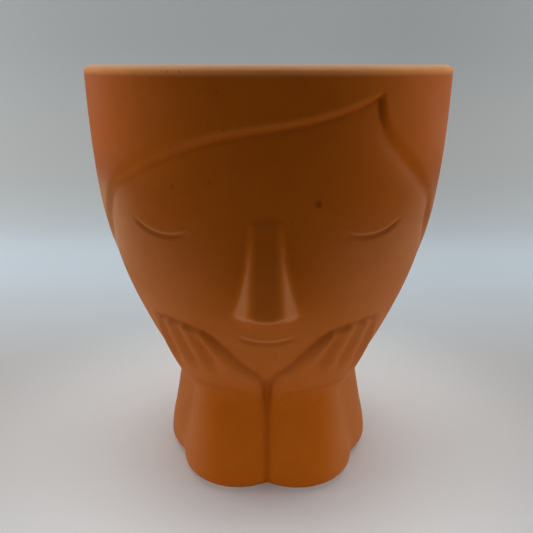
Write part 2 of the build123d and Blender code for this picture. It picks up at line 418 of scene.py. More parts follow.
def curve_through(table, column, at):
    """Cubic curve through one column of a table, over its first column."""
    places = np.array([row[0] for row in table])
    values = np.array([row[column] for row in table])
    slopes = np.gradient(values, places)
    low = np.clip(np.searchsorted(places, at) - 1, 0, len(places) - 2)
    span = places[low + 1] - places[low]
    t = (at - places[low]) / span
    inside = np.clip(t, 0.0, 1.0)
    square, cube = inside**2, inside**3
    level = (2 * cube - 3 * square + 1) * values[low] + (3 * square - 2 * cube) * values[low + 1]
    bend = (cube - 2 * square + inside) * slopes[low] + (cube - square) * slopes[low + 1]
    beyond = (t - inside) * span * np.where(t < 0, slopes[low], slopes[low + 1])
    return level + span * bend + beyond


def skull_radius(height):
    """Radius of the skull at a height."""
    return curve_through(SKULL_TABLE, 1, height)


def skull_slope(height):
    """Length of the skull's outline per millimetre of height, and so its lean."""
    above, below = skull_radius(height + SLOPE_REACH), skull_radius(height - SLOPE_REACH)
    return np.sqrt(1.0 + ((above - below) / (2 * SLOPE_REACH)) ** 2)


def on_skull(azimuth, height):
    """Points on the skull, from azimuths in radians and heights."""
    return ring(skull_radius(height), azimuth, height)


def ring(reach, azimuth, height):
    """Points at a reach from the axis, such as one row round it, from azimuths in radians."""
    reach = np.broadcast_to(reach, azimuth.shape)
    height = np.broadcast_to(height, azimuth.shape)
    return np.stack([reach * np.sin(azimuth), -reach * np.cos(azimuth), height], axis=-1)


def resampled(points, count):
    """Points spread evenly along a smoothed line through the given points."""
    points = np.array(points, dtype=float)
    steps = np.concatenate([[0.0], np.cumsum(np.linalg.norm(np.diff(points, axis=0), axis=1))])
    table = np.column_stack([steps, points])
    at = np.linspace(0.0, steps[-1], count)
    return np.column_stack([curve_through(table, column + 1, at) for column in range(points.shape[1])])


def distance_to_line(grid, line):
    """Distance from each grid point to a line of 3-D points, and the share along it."""
    best = np.full(grid.shape[:2], np.inf)
    along = np.zeros(grid.shape[:2])
    starts, ends = line[:-1], line[1:]
    for index, (start, end) in enumerate(zip(starts, ends)):
        run = end - start
        t = np.clip(((grid - start) @ run) / (run @ run), 0.0, 1.0)
        gap = np.linalg.norm(grid - (start + t[..., None] * run), axis=-1)
        closer = gap < best
        best = np.where(closer, gap, best)
        along = np.where(closer, (index + t) / len(starts), along)
    return best, along


def inside_outline(azimuth, height, outline):
    """Whether each (azimuth, height) lies inside a closed outline."""
    inside = np.zeros(azimuth.shape, dtype=bool)
    for (a0, h0), (a1, h1) in zip(outline, np.roll(outline, -1, axis=0)):
        if h0 == h1:
            continue
        crosses = (h0 > height) != (h1 > height)
        inside ^= crosses & (azimuth < a0 + (height - h0) * (a1 - a0) / (h1 - h0))
    return inside


def flat_line(line):
    """Azimuth, height and bevel of a line given in shares on the upright plane through the axis."""
    places = []
    for across, up, bevel in line:
        height = up * POT_HEIGHT
        radius = float(skull_radius(np.array(height)))
        places.append((math.asin(across * SKULL_RADIUS / radius), height, bevel))
    return places


def side_edge(heights):
    """Azimuths at which the hair's front edge runs down and back along the side of the head."""
    lean = math.tan(math.radians(HAIR_EDGE_BACK_SLOPE))
    depth = -HAIR_EDGE_DEPTH + lean * (HAIR_EDGE_HEIGHT - heights)
    return np.arccos(np.clip(-depth / skull_radius(heights), -1.0, 1.0))


def hairline():
    """Whole edge of the face from the left jaw over the parting's tip to the right jaw."""
    heights = np.linspace(*SIDE_ENDS, SIDE_POINTS)
    bevels = between(*SIDE_BEVELS, step(heights, *SIDE_BEVEL_STEP))
    right = list(zip(side_edge(heights), heights, bevels))
    left = [(-azimuth, height, bevel) for azimuth, height, bevel in right]
    fringe = resampled(left[-SIDE_POINTS_IN_FRINGE:] + flat_line(FRINGE_LINE), FRINGE_POINTS)
    parting = resampled(flat_line(PARTING_LINE) + [right[-1]], PARTING_POINTS)
    down = right[-2::-1]
    return np.concatenate([np.array(left[:-SIDE_POINTS_IN_FRINGE]), fringe, parting[1:], np.array(down)])


def hair_rise(gap, turned, level, bevel, height):
    """Height of the hair above the skull, at a gap from a place on its edge."""
    ramp = np.clip(gap / bevel, 0.0, 1.0)
    narrow = between(np.sqrt(ramp), eased(ramp), BEVEL_EASED_SHARE)
    rise = HAIR_STEP * between(narrow, eased(ramp), step(bevel, *BEVEL_SOFT_STEP))
    share, middle, reach = HAIR_THINNING
    rise = rise * (1.0 - share * bell(height, middle, reach))
    slow = HAIR_STEP * between(eased(gap / (PARTING_BEVEL_SHARE * bevel)), eased(gap / PARTING_WIDTH), 0.5)
    rise = between(rise, slow, step(turned, *PARTING_AZIMUTH_STEP) * step(level, *PARTING_HEIGHT_STEP))
    return rise * step(height, *HAIR_END_STEP)


def hair_relief(azimuth, height, grid):
    """Height of the hair layer above the skull, bevelled along its edge, with painted shade in its crease
    and painted highlights beside its edge.
    """
    edge = hairline()
    face = inside_outline(azimuth, height, edge[:, :2])
    gap, along = distance_to_line(grid, on_skull(edge[:, 0], edge[:, 1]))
    shares = np.linspace(0.0, 1.0, len(edge))
    turned, level, bevel = (np.interp(along, shares, edge[:, column]) for column in range(3))
    turned = np.degrees(turned)
    crease = by_azimuth(HAIR_CREASE, turned) * step(height, *HAIR_CREASE_STEP)
    crease = crease * bell(gap, 0.0, HAIR_CREASE_WIDTH)
    dip = by_azimuth(HAIR_DIP, turned) * step(height, *HAIR_DIP_STEP)
    inner = -HAIR_CREASE_DEPTH * crease - dip * bell(gap, 0.0, HAIR_DIP_WIDTH)
    sunk = (HAIR_CREASE_DEPTH * crease + dip) * (1.0 - np.clip(gap / bevel, 0.0, 1.0))
    outer = hair_rise(gap, turned, level, bevel, height) - sunk
    highlight_mark = by_azimuth(HAIR_EDGE_HIGHLIGHT, turned) * bell(gap, *HAIR_HIGHLIGHT_PLACE) * step(height, *HAIR_HIGHLIGHT_STEP)
    brow = FRINGE_HIGHLIGHT_MARK * bell(gap, *FRINGE_HIGHLIGHT_PLACE)
    brow = brow * step(turned, *FRINGE_LEFT_STEP) * step(turned, *FRINGE_RIGHT_STEP)
    return np.where(face, inner, outer), HAIR_CREASE_MARK * crease - np.where(face, highlight_mark, brow)


def hand_relief(azimuth, height, grid, side):
    """Height of a hand above the skull, with four fingers parted by valleys, and its painted shade."""
    to_length = [HAND_RADIUS, 1.0]
    outline = np.array([(math.radians(turned), up) for turned, up in HAND_LINE])
    outline = resampled(outline * to_length, HAND_POINTS) / to_length
    inside = inside_outline(azimuth * side, height, outline)
    gap, _ = distance_to_line(grid, on_skull(outline[:, 0] * side, outline[:, 1]))
    ramp = np.clip(gap / HAND_EDGE, 0.0, 1.0)
    rise = HAND_RISE * between(eased(ramp), 1.0 - (1.0 - ramp) ** 2, 0.5)
    painted_light = np.zeros_like(rise)
    for tip_azimuth, tip_height, root_azimuth, root_height in FINGER_VALLEYS:
        azimuths = np.radians(np.linspace(tip_azimuth, root_azimuth, VALLEY_POINTS)) * side
        valley = on_skull(azimuths, np.linspace(tip_height, root_height, VALLEY_POINTS))
        reach, along = distance_to_line(grid, valley)
        notch = bell(reach, 0.0, VALLEY_WIDTH) * step(along, *VALLEY_STEP)
        rise = rise - VALLEY_DEPTH * notch * ramp
        painted_light = np.maximum(painted_light, VALLEY_MARK * notch * ramp)
    turned = np.degrees(azimuth) * side
    ends = step(turned, *FINGER_BULGE_INNER_STEP) * step(turned, *FINGER_BULGE_OUTER_STEP)
    rise = rise + FINGER_BULGE_RISE * ends * bell(gap, *FINGER_BULGE_PLACE)
    crease = bell(gap, 0.0, HAND_CREASE_WIDTH)
    whole = np.where(inside, rise, 0.0) - HAND_CREASE_DEPTH * crease
    return whole, np.maximum(np.where(inside, painted_light, 0.0), HAND_CREASE_MARK * crease)


def groove_relief(azimuth, height, grid, line, size, side=1.0):
    """Rounded groove along a line of (azimuth, height), with painted shade in it and a painted highlight on
    the lip above it.
    """
    half_width, depth = size
    points = resampled(line, GROOVE_POINTS)
    gap, along = distance_to_line(grid, on_skull(np.radians(points[:, 0]) * side, points[:, 1]))
    gap = gap / half_width
    ends = step(np.minimum(along, 1.0 - along), *GROOVE_END_STEP)
    cut = bell(gap, 0.0, GROOVE_CUT_SHARE)
    lips = GROOVE_LIP_HEIGHT_SHARE * bell(gap, *GROOVE_LIP_SHARES)
    above = height > np.interp(np.degrees(azimuth) * side, points[:, 0], points[:, 1])
    highlight_mark = bell(gap, *GROOVE_HIGHLIGHT_SHARES) * above
    return depth * ends * (lips - cut), ends * (GROOVE_MARK * cut - GROOVE_HIGHLIGHT_MARK * highlight_mark)


def relief(azimuth, height):
    """Everything proud of the skull or pressed into it, with its painted shade and highlights."""
    grid = on_skull(azimuth, height)
    parts = [
        hair_relief(azimuth, height, grid),
        groove_relief(azimuth, height, grid, MOUTH_LINE, MOUTH_GROOVE),
    ]
    for side in (-1.0, 1.0):
        parts.append(hand_relief(azimuth, height, grid, side))
        parts.append(groove_relief(azimuth, height, grid, EYE_LINE, EYE_GROOVE, side))
    total = sum(rise for rise, _ in parts)
    marks = [mark for _, mark in parts]
    return total, np.maximum(np.max(marks, axis=0), 0.0) + np.minimum(np.min(marks, axis=0), 0.0)


def head_field(reach, height, rise):
    """Signed distance to the head, about, at a reach from the axis."""
    return (reach - skull_radius(height)) / skull_slope(height) - rise


def neck_field(x, y, height):
    """Signed distance to the rear mass of the foot, about."""
    level = (height - FOOT_PLANE) / (NECK_TOP - FOOT_PLANE)
    spread = curve_through(NECK_SHARES, 1, level)
    oval = np.hypot(x / NECK_HALF_WIDTH, y / NECK_HALF_DEPTH)
    across = (oval - spread) * math.sqrt(NECK_HALF_WIDTH * NECK_HALF_DEPTH)
    return np.maximum(across, height - NECK_TOP)


def forearm_field(x, y, height):
    """Signed distance to the forearm on the side where x is positive, about."""
    level = (height - FOOT_PLANE) / (FOREARM_TOP - FOOT_PLANE)
    radius = FOREARM_RADIUS * curve_through(FOREARM_SHARES, 1, level)
    spread = between(FOREARM_SPREAD, WRIST_SPREAD, np.clip(level, 0, 1))
    return np.maximum(np.hypot(x - spread, y + FOREARM_DEPTH) - radius, height - FOREARM_TOP)


def outer_body(x, y, height, head, inset=0.0):
    """Signed distance to the head, the neck and both forearms together."""
    arms = soft_min(forearm_field(x, y, height), forearm_field(-x, y, height), GROOVE_BLEND)
    trunk = soft_min(head, neck_field(x, y, height) + inset, JAW_BLEND)
    return soft_min(trunk, arms + inset, ARM_BLEND)


def nose_share(height):
    """How far down the nose a height lies, 0 at its top and 1 at its tip."""
    return (NOSE_TOP - height) / (NOSE_TOP - NOSE_BOTTOM)


def nose_field(x, y, height):
    """Signed distance to the wedge nose, about."""
    down = np.clip(nose_share(height), 0.0, 1.0 + NOSE_OVERRUN_SHARE)
    depth = between(NOSE_TOP_DEPTH, NOSE_TIP_DEPTH, down)
    back = (y + depth) / (depth - NOSE_ROOT_DEPTH)
    back = np.clip(back, -NOSE_OVERRUN_SHARE, 1.0 + NOSE_OVERRUN_SHARE)
    front_half = between(NOSE_BRIDGE_HALF_WIDTH, NOSE_TIP_HALF_WIDTH, down)
    root_half = between(NOSE_ROOT_HALF_WIDTH, NOSE_WING_HALF_WIDTH, down)
    half = between(front_half, root_half, back)
    flank = (np.abs(x) - half) * NOSE_FLANK_SLOPE
    bow = between(NOSE_TIP_BOW, NOSE_WING_BOW, back) * (1.0 - np.clip(x / half, -1, 1) ** 2)
    under = (between(NOSE_BOTTOM, NOSE_WING_BOTTOM, back) - bow - height) * NOSE_UNDER_SLOPE
    wedge = soft_max(-(y + depth), flank, between(NOSE_BRIDGE_EDGE_BLEND, NOSE_TIP_EDGE_BLEND, down))
    wedge = soft_max(wedge, under, NOSE_UNDER_BLEND)
    wedge = soft_max(wedge, height - NOSE_TOP, NOSE_TOP_BLEND)
    return np.maximum(wedge, y + NOSE_ROOT_DEPTH / 2)


def arm_line(x, height):
    """How far a place lies in the line between the two arms, from 0 to 1."""
    return bell(x, 0.0, ARM_LINE_WIDTH) * step(height, *ARM_LINE_FADE)


def outer_field(reach, azimuth, height, rise):
    """Signed distance to the pot's outside, about."""
    x, y = reach * np.sin(azimuth), -reach * np.cos(azimuth)
    field = outer_body(x, y, height, head_field(reach, height, rise))
    field = field + np.where(y < 0, ARM_LINE_DEPTH * arm_line(x, height), 0.0)
    return soft_min(field, nose_field(x, y, height), NOSE_BLEND)


def inner_field(reach, azimuth, height, rise):
    """Signed distance to the hollow inside, about, one wall in from the outside."""
    x, y = reach * np.sin(azimuth), -reach * np.cos(azimuth)
    return outer_body(x, y, height, head_field(reach, height, rise) + WALL, inset=WALL)


def solve(field, azimuth, height, rise):
    """Reach from the axis at which a field is zero, at each azimuth and height."""
    low = np.full(azimuth.shape, SOLVE_MARGIN)
    high = np.full(azimuth.shape, RIM_RADIUS + SOLVE_MARGIN)
    for _ in range(SOLVE_STEPS):
        middle = (low + high) / 2
        inside = field(middle, azimuth, height, rise) < 0
        low = np.where(inside, middle, low)
        high = np.where(inside, high, middle)
    return (low + high) / 2


def nose_edge(x, y, height):
    """How far a place lies on the lower or upper edge of the nose, from 0 to 1."""
    inner, (outer, outer_height) = NOSE_TIP_HALF_WIDTH, NOSE_EDGE_END
    bow = NOSE_TIP_BOW * (1.0 - np.clip(np.abs(x) / inner, 0.0, 1.0) ** 2)
    out = np.clip((np.abs(x) - inner) / (outer - inner), 0.0, 1.0)
    level = between(NOSE_BOTTOM - bow, outer_height, out) - NOSE_EDGE_DROP
    lower = bell(height, level, NOSE_EDGE_WIDTH) * step(np.abs(x), *NOSE_LOWER_EDGE_STEP)
    upper = bell(height, NOSE_TOP, NOSE_EDGE_WIDTH) * step(np.abs(x), *NOSE_UPPER_EDGE_STEP)
    return np.maximum(lower, NOSE_UPPER_EDGE_SHARE * upper) * (y < -NOSE_ROOT_DEPTH)


def nose_marks(x, y, height, proud):
    """Painted highlights on the nose, where it stands proud of the skull by a given height."""
    out = np.abs(x)
    down = np.clip(nose_share(height), 0.0, 1.0)
    plane = between(NOSE_BRIDGE_HALF_WIDTH, NOSE_TIP_HALF_WIDTH, down)
    flank = between(*NOSE_FLANK_MARKS, down) * step(out - plane, *NOSE_FLANK_STEP)
    flank = flank * step(proud, *NOSE_FLANK_PROUD_STEP) * (height > NOSE_WING_BOTTOM)
    front = NOSE_FRONT_MARK * step(proud, *NOSE_FRONT_PROUD_STEP) * (height > NOSE_BOTTOM)
    broad = np.maximum(flank, front) * (out < NOSE_WING_HALF_WIDTH)
    return np.maximum(broad, NOSE_EDGE_MARK * nose_edge(x, y, height))


def painted_light_marks(azimuth, height, reach, rise, marks):
    """Painted shade and highlights of the relief joined by those of the nose, the wrists and the line
    between the arms.
    """
    x, y = reach * np.sin(azimuth), -reach * np.cos(azimuth)
    marks = marks - nose_marks(x, y, height, reach - skull_radius(height) - rise)
    marks = np.where(height < MARK_FLOOR, 0.0, marks)
    arms = np.where(y < 0, ARM_LINE_MARK * arm_line(ARM_LINE_MARK_SHARE * x, height), 0.0)
    turned = np.degrees(np.abs(azimuth))
    wrist = WRIST_MARK * bell(height, *WRIST_PLACE)
    wrist = wrist * step(turned, *WRIST_INNER_STEP) * step(turned, *WRIST_OUTER_STEP)
    return np.where(marks < 0.0, marks, np.maximum(marks, np.maximum(arms, wrist)))


def column_azimuths():
    """Azimuths in radians round the pot, close together over the face and wider behind."""
    places = np.linspace(-math.pi, math.pi, DENSITY_SAMPLES)
    behind = eased((np.abs(places) - math.radians(FINE_AZIMUTH)) / COLUMN_FADE_RADIANS)
    density = 1.0 / between(1.0, REAR_SPACING, behind)
    total = np.concatenate([[0.0], np.cumsum((density[1:] + density[:-1]) / 2)])
    return np.interp(np.linspace(0.0, total[-1], COLUMNS, endpoint=False), total, places)


def wall_heights():
    """Heights of the rows up the outside, close together at the eyes and the mouth."""
    places = np.linspace(FOOT_PLANE + FOOT_ROUNDING, POT_HEIGHT - LIP_ROUNDING, DENSITY_SAMPLES)
    spacing = np.where(places < FOOT_ROWS_TOP, FOOT_ROW_SPACING, ROW_SPACING)
    for centre in CLOSE_ROWS:
        spacing = between(CLOSE_ROW_SPACING, spacing, step(np.abs(places - centre), *CLOSE_ROWS_STEP))
    total = np.concatenate([[0.0], np.cumsum(1.0 / spacing[1:]) * (places[1] - places[0])])
    return np.interp(np.linspace(0.0, total[-1], int(total[-1]) + 1), total, places)


def quarter(count):
    """Angles of a quarter turn in radians, without its start."""
    return np.linspace(0.0, math.pi / 2, count + 1)[1:]


def foot_rows(azimuth):
    """Rows up the rounded lower edge of the foot."""
    rows = []
    for angle in quarter(EDGE_STEPS)[::-1]:
        level = np.full(azimuth.shape, FOOT_PLANE + FOOT_ROUNDING * (1.0 - math.sin(angle)))
        reach = solve(outer_field, azimuth, level, np.zeros_like(azimuth))
        rows.append(ring(reach - FOOT_ROUNDING * (1.0 - math.cos(angle)), azimuth, level))
    return rows


def lip_rows(azimuth):
    """Rows over the lip, from its outer profile to the round of its inner edge."""
    rows = [ring(RIM_RADIUS - inwards, azimuth, POT_HEIGHT - under) for inwards, under in LIP_PROFILE]
    inner_edge = SKULL_RADIUS - WALL + LIP_ROUNDING
    for angle in quarter(EDGE_STEPS)[::-1]:
        height = POT_HEIGHT - LIP_ROUNDING + LIP_ROUNDING * math.sin(angle)
        rows.append(ring(inner_edge - LIP_ROUNDING * math.cos(angle), azimuth, height))
    return rows


def fine_rings():
    """Rows from the edge of the underside up the outside and over the lip, and their painted shade and
    highlights.
    """
    azimuth = column_azimuths()
    heights = wall_heights()
    grid_azimuth, grid_height = np.meshgrid(azimuth, heights)
    rise, marks = relief(grid_azimuth, grid_height)
    reach = solve(outer_field, grid_azimuth, grid_height, rise)
    marks = painted_light_marks(grid_azimuth, grid_height, reach, rise, marks)
    foot = foot_rows(azimuth)
    wall = [ring(row, azimuth, height) for row, height in zip(reach, heights)]
    return foot + wall + lip_rows(azimuth), [marks[0]] * len(foot) + list(marks)


def coarse_rings():
    """Rows from the lip down the inside, over the floor, through the hole and under the foot."""
    azimuth = column_azimuths()[::COARSE_STEP]
    heights = np.linspace(POT_HEIGHT - LIP_ROUNDING, WELL_FLOOR + WELL_ROUNDING, INNER_ROWS)
    grid_azimuth, grid_height = np.meshgrid(azimuth, heights)
    reach = solve(inner_field, grid_azimuth, grid_height, np.zeros_like(grid_azimuth))
    rows = [ring(row, azimuth, height) for row, height in zip(reach, heights)]
    for angle in quarter(WELL_STEPS):
        height = WELL_FLOOR + WELL_ROUNDING * (1.0 - math.sin(angle))
        rows.append(ring(reach[-1] - WELL_ROUNDING * (1.0 - math.cos(angle)), azimuth, height))
    floor, hole = reach[-1] - WELL_ROUNDING, DRAIN_RADIUS + DRAIN_TOP_BEVEL
    for share in WELL_FLOOR_SHARES:
        rows.append(ring(between(floor, hole, share), azimuth, WELL_FLOOR))
    for radius, height in (
        (hole, WELL_FLOOR),
        (DRAIN_RADIUS, WELL_FLOOR - DRAIN_TOP_BEVEL),
        (DRAIN_RADIUS, RECESS_PLANE + DRAIN_LOW_BEVEL),
        (DRAIN_RADIUS + DRAIN_LOW_BEVEL, RECESS_PLANE),
        (RECESS_RADIUS - RECESS_CORNER, RECESS_PLANE),
        (RECESS_RADIUS, RECESS_PLANE - RECESS_CORNER),
        (RECESS_RADIUS, FOOT_PLANE + RECESS_BEVEL),
        (RECESS_RADIUS + RECESS_BEVEL, FOOT_PLANE),
    ):
        rows.append(ring(radius, azimuth, height))
    level = np.full(azimuth.shape, FOOT_PLANE)
    outside = solve(outer_field, azimuth, level, np.zeros_like(azimuth)) - FOOT_ROUNDING
    rows.append(ring(between(RECESS_RADIUS, outside, 0.5), azimuth, FOOT_PLANE))
    return rows


def quads(start, rows, columns):
    """Four-sided faces between rows of points that go round the axis, from a first point on."""
    faces = []
    for row in range(rows - 1):
        low, high = start + row * columns, start + (row + 1) * columns
        for column in range(columns):
            after = (column + 1) % columns
            faces.append((low + column, low + after, high + after, high + column))
    return faces


def closed_faces(fine_count, coarse_count):
    """Faces between the rows, with many-sided ones where the wide columns meet the close ones."""
    wide = COLUMNS // COARSE_STEP
    start = fine_count * COLUMNS
    faces = quads(0, fine_count, COLUMNS) + quads(start, coarse_count, wide)
    top, last = (fine_count - 1) * COLUMNS, start + (coarse_count - 1) * wide
    for column in range(wide):
        after = (column + 1) % wide
        fine = [(column * COARSE_STEP + offset) % COLUMNS for offset in range(COARSE_STEP + 1)]
        faces.append([top + index for index in fine] + [start + after, start + column])
        faces.append([last + column, last + after] + fine[::-1])
    return faces


def new_piece(name, points, faces, body):
    """Mesh object from points in millimetres, riding on a body."""
    mesh = bpy.data.meshes.new(name)
    mesh.from_pydata((np.asarray(points) * MM).tolist(), [], faces)
    mesh.validate()
    mesh.shade_smooth()
    piece = bpy.data.objects.new(name, mesh)
    bpy.context.scene.collection.objects.link(piece)
    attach(piece, body)
    return piece


def make_pot():
    """Whole ceramic casting as one closed mesh, with its painted shade and highlights."""
    (fine, marks), coarse = fine_rings(), coarse_rings()
    points = np.concatenate([row.reshape(-1, 3) for row in fine + coarse])
    piece = new_piece("pot_casting", points, closed_faces(len(fine), len(coarse)), "pot")
    # Painted shade above 0 and painted highlights below 0, kept on the points
    painted_light = np.zeros(len(points), dtype=np.float32)
    marked = np.concatenate(marks)
    painted_light[: len(marked)] = marked
    piece.data.attributes.new("painted_light", "FLOAT", "POINT").data.foreach_set("value", painted_light)
    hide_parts("pot_body")
    return piece


# Glaze colours in linear light
GLAZE_LIGHT = (0.46, 0.108, 0.0060)
GLAZE_DEEP = (0.42, 0.096, 0.0045)
# Dark tone for the random mottle and for the painted shade in the creases
GLAZE_DARK = (0.20, 0.030, 0.0030)
# Painted sheen beside the face and the arms
PAINTED_SHEEN = (0.50, 0.165, 0.048)
# Painted light on the sides of the hair
PAINTED_SIDE_LIGHT = (0.58, 0.126, 0.0050)
# Painted highlight for the edges, the bevels and the temples
PAINTED_HIGHLIGHT = (0.68, 0.33, 0.15)
STAIN = (0.035, 0.014, 0.006)
# Worn glaze with a painted highlight on the lip
LIP_WEAR_AND_HIGHLIGHT = (0.98, 0.44, 0.16)
# Painted highlight on the top of the lip
LIP_TOP_HIGHLIGHT = (0.82, 0.54, 0.40)
BISQUE = (0.52, 0.36, 0.24)

# Noises of the glaze: waves per metre, detail and roughness, and the span of their values that shows
CLOUDS = (16.0, 3.0, 0.55), (0.3, 0.7)
MOTTLE = (150.0, 5.0, 0.65), (0.25, 0.75)
SHADE_PATCHES = (60.0, 3.0, 0.55), (0.2, 0.8)
WEAR = (70.0, 5.0, 0.7), (0.25, 0.75)
SPECK_PATCHES = (95.0, 2.0, 0.55), (0.62, 0.72)
GLOSS_PATCHES = (45.0, 4.0, 0.55), (0.3, 0.7)
WAVER_WAVES = (22.0, 3.0, 0.55)
FRAY_WAVES = (900.0, 3.0, 0.7)
PEEL_WAVES = (260.0, 2.0, 0.55)
GRAIN_WAVES = (2600.0, 3.0, 0.7)

# Painted sheen and light over the front: how far their levels waver, how far round they reach, and their
# share
WAVER = 8.0
AHEAD_STEP = (45.0, -20.0)
AHEAD_SHARE = 0.8
# Painted sheen, pale at the sides of the face, less so over the chin, up to the brow, and at the sides of
# the arms
PALE_OUT_STEP = (4.0, 42.0)
PALE_CHIN_STEP = (80.0, 66.0)
PALE_CHIN_SHARE = 0.4
PALE_BROW_STEP = (107.0, 87.0)
PALE_NECK_STEP = (32.0, 46.0)
PALE_ARM_STEP = (17.0, 30.0)
# Painted light, warm and bright at the sides of the hair
WARM_OUT_STEP = (18.0, 46.0)
WARM_HEIGHT_STEP = (106.0, 120.0)
# Painted sheen on the temples, more so on the -X side
TEMPLE_OUT_STEP = (34.0, 52.0)
TEMPLE_TOP_STEP = (112.0, 99.0)
TEMPLE_LOW_STEP = (74.0, 88.0)
TEMPLE_SIDE_STEP = (20.0, -20.0)
TEMPLE_SHARES = (0.3, 0.7)
# Worn glaze with a painted highlight on the lip, a paler painted highlight on its top, and bare clay
# underneath
LIP_WEAR_AND_HIGHLIGHT_STEP = (136.8, 139.2)
LIP_WEAR_AND_HIGHLIGHT_SHARES = (0.72, 0.95)
LIP_TOP_HIGHLIGHT_STEP = (139.0, 140.0)
LIP_TOP_HIGHLIGHT_SHARE = 0.9
BISQUE_START = 0.25
BISQUE_END = 0.05
BISQUE_STEP = (FOOT_PLANE + BISQUE_START, FOOT_PLANE + BISQUE_END)

# Strengths of the painted shade and highlights, the mottle and the specks
PAINTED_SHADE_SHARE = 0.65
SHADE_PATCH_SHARES = (0.75, 1.0)
HIGHLIGHT_SHARE = 0.8
MOTTLE_SHARE = 0.10
SPECK_SCALE = 420.0
SPECK_SPAN = (0.10, 0.20)
SPECK_SHARE = 0.35

# Stains on the front: place across and up, size, strength, and where their spots fade by share of size
STAINS = [
    (13.8, 105.4, 2.2, 0.6),
    (27.1, 106.2, 0.45, 0.9),
    (8.3, 128.4, 0.5, 0.5),
    (-25.0, 109.2, 2.0, 0.22),
    (-14.8, 111.2, 2.2, 0.15),
    (-24.3, 138.3, 0.8, 0.5),
    (-21.2, 138.3, 0.7, 0.35),
]
STAIN_FADE_SHARES = (0.55, 1.15)
STAIN_FRONT_STEP = (-20.0, -30.0)

# Satin surface: roughness, its rise in the recesses and on bare clay, and the height of its grain
GLOSS_RANGE = (0.48, 0.58)
RECESS_ROUGHER = 0.08
BISQUE_ROUGHER = 0.35
GLAZE_SPECULAR = 0.025
PEEL_SHARE = 0.7
GRAIN_SHARE = 0.25
GLAZE_BUMP = 0.35
GLAZE_BUMP_HEIGHT = 0.12

# Rubber of the stopper and the pads: dark and dusty colour and roughness, and what both share
PLUG_RUBBER = ((0.020, 0.019, 0.018), (0.045, 0.042, 0.040), 0.5)
PAD_RUBBER = ((0.10, 0.095, 0.09), (0.16, 0.15, 0.14), 0.55)
DUST = (220.0, 5.0, 0.65), (0.35, 0.75)
DUST_ROUGHER = 0.18
RUBBER_GRAIN_WAVES = (3200.0, 4.0, 0.6)
RUBBER_SPECULAR = 0.35
RUBBER_BUMP = 0.4
RUBBER_BUMP_HEIGHT = 0.08

# Seamless paper: colours in linear light, and where each takes over
# Painted pool of light round the planter, against its shadow
PAPER_PAINTED_LIGHT = (0.95, 0.98, 1.0)
PAPER_NEAR = (0.60, 0.59, 0.58)
PAPER_FAR = (0.69, 0.79, 0.87)
PAPER_WALL = (0.51, 0.525, 0.52)
# Painted shade towards +X, where the light falls off
PAPER_SHADE = (0.1, 0.1, 0.1)
PAPER_FAR_STEP = (0.0, 220.0)
PAPER_PAINTED_LIGHT_CENTRE = (0.0, -0.02, 0.0)
PAPER_PAINTED_LIGHT_STEP = (155.0, 45.0)
PAPER_WALL_STEP = (220.0, 420.0)
PAPER_SHADE_STEP = (20.0, 160.0)
PAPER_SHADE_SHARE = 0.1
PAPER_TOOTH_WAVES = (25.0, 5.0, 0.55)
PAPER_TOOTH_SHARE = 0.03
PAPER_ROUGHNESS = 0.75
PAPER_SPECULAR = 0.2

# Sockets of Blender's mix node for colours: its factor, its two colours and its result
MIX_FACTOR = 0
MIX_BASE = 6
MIX_OVER = 7
MIX_RESULT = 2


def new_material(name, specular):
    """Material with its node tree, its main shader and the places on its object."""
    material = bpy.data.materials.new(name)
    material.use_nodes = True
    tree = material.node_tree
    shader = tree.nodes["Principled BSDF"]
    shader.inputs["Specular IOR Level"].default_value = specular
    return material, tree, shader, node(tree, "TexCoord").outputs["Object"]


def put(tree, value, socket):
    """Link a socket's value or set a constant one."""
    if isinstance(value, bpy.types.NodeSocket):
        tree.links.new(value, socket)
    else:
        socket.default_value = value


def node(tree, kind, inputs=(), **settings):
    """Node with its settings and input values."""
    made = tree.nodes.new("ShaderNode" + kind)
    for name, value in settings.items():
        setattr(made, name, value)
    for key, value in dict(inputs).items():
        put(tree, value, made.inputs[key])
    return made


def noise(tree, place, scale, detail, roughness):
    """Noise over the object's own places, scale in waves per metre."""
    inputs = {"Vector": place, "Scale": scale, "Detail": detail, "Roughness": roughness}
    return node(tree, "TexNoise", inputs).outputs["Fac"]


def ramp(tree, value, low, high, start=0.0, end=1.0):
    """Value carried from one range to another with soft ends."""
    inputs = {"Value": value, "From Min": low, "From Max": high, "To Min": start, "To Max": end}
    return node(tree, "MapRange", inputs, interpolation_type="SMOOTHSTEP").outputs["Result"]


def zone(tree, place, steps, start=0.0, end=1.0):
    """Ramp over a distance or coordinate, between two places in millimetres."""
    return ramp(tree, place, steps[0] * MM, steps[1] * MM, start, end)


def patches(tree, place, waves, span, start=0.0, end=1.0):
    """Ramp over a noise, between two of its values."""
    return ramp(tree, noise(tree, place, *waves), *span, start, end)


def blend(tree, share, base, over):
    """Colour mixed over another by a share."""
    made = node(tree, "Mix", data_type="RGBA")
    put(tree, share, made.inputs[MIX_FACTOR])
    for index, colour in ((MIX_BASE, base), (MIX_OVER, over)):
        put(tree, (*colour, 1.0) if isinstance(colour, tuple) else colour, made.inputs[index])
    return made.outputs[MIX_RESULT]


def maths(tree, kind, *values):
    """Sum, product or other operation on numbers."""
    return node(tree, "Math", enumerate(values), operation=kind).outputs[0]


def product(tree, first, *others):
    """Product of two or more numbers."""
    for other in others:
        first = maths(tree, "MULTIPLY", first, other)
    return first


def distance(tree, place, centre):
    """Distance from a fixed place in metres."""
    return node(tree, "VectorMath", {0: place, 1: centre}, operation="DISTANCE").outputs["Value"]


def add_bump(tree, shader, height, strength, distance_mm):
    """Fine surface relief of a given height in millimetres."""
    bump = node(tree, "Bump", {"Height": height, "Strength": strength, "Distance": distance_mm * MM})
    tree.links.new(bump.outputs["Normal"], shader.inputs["Normal"])


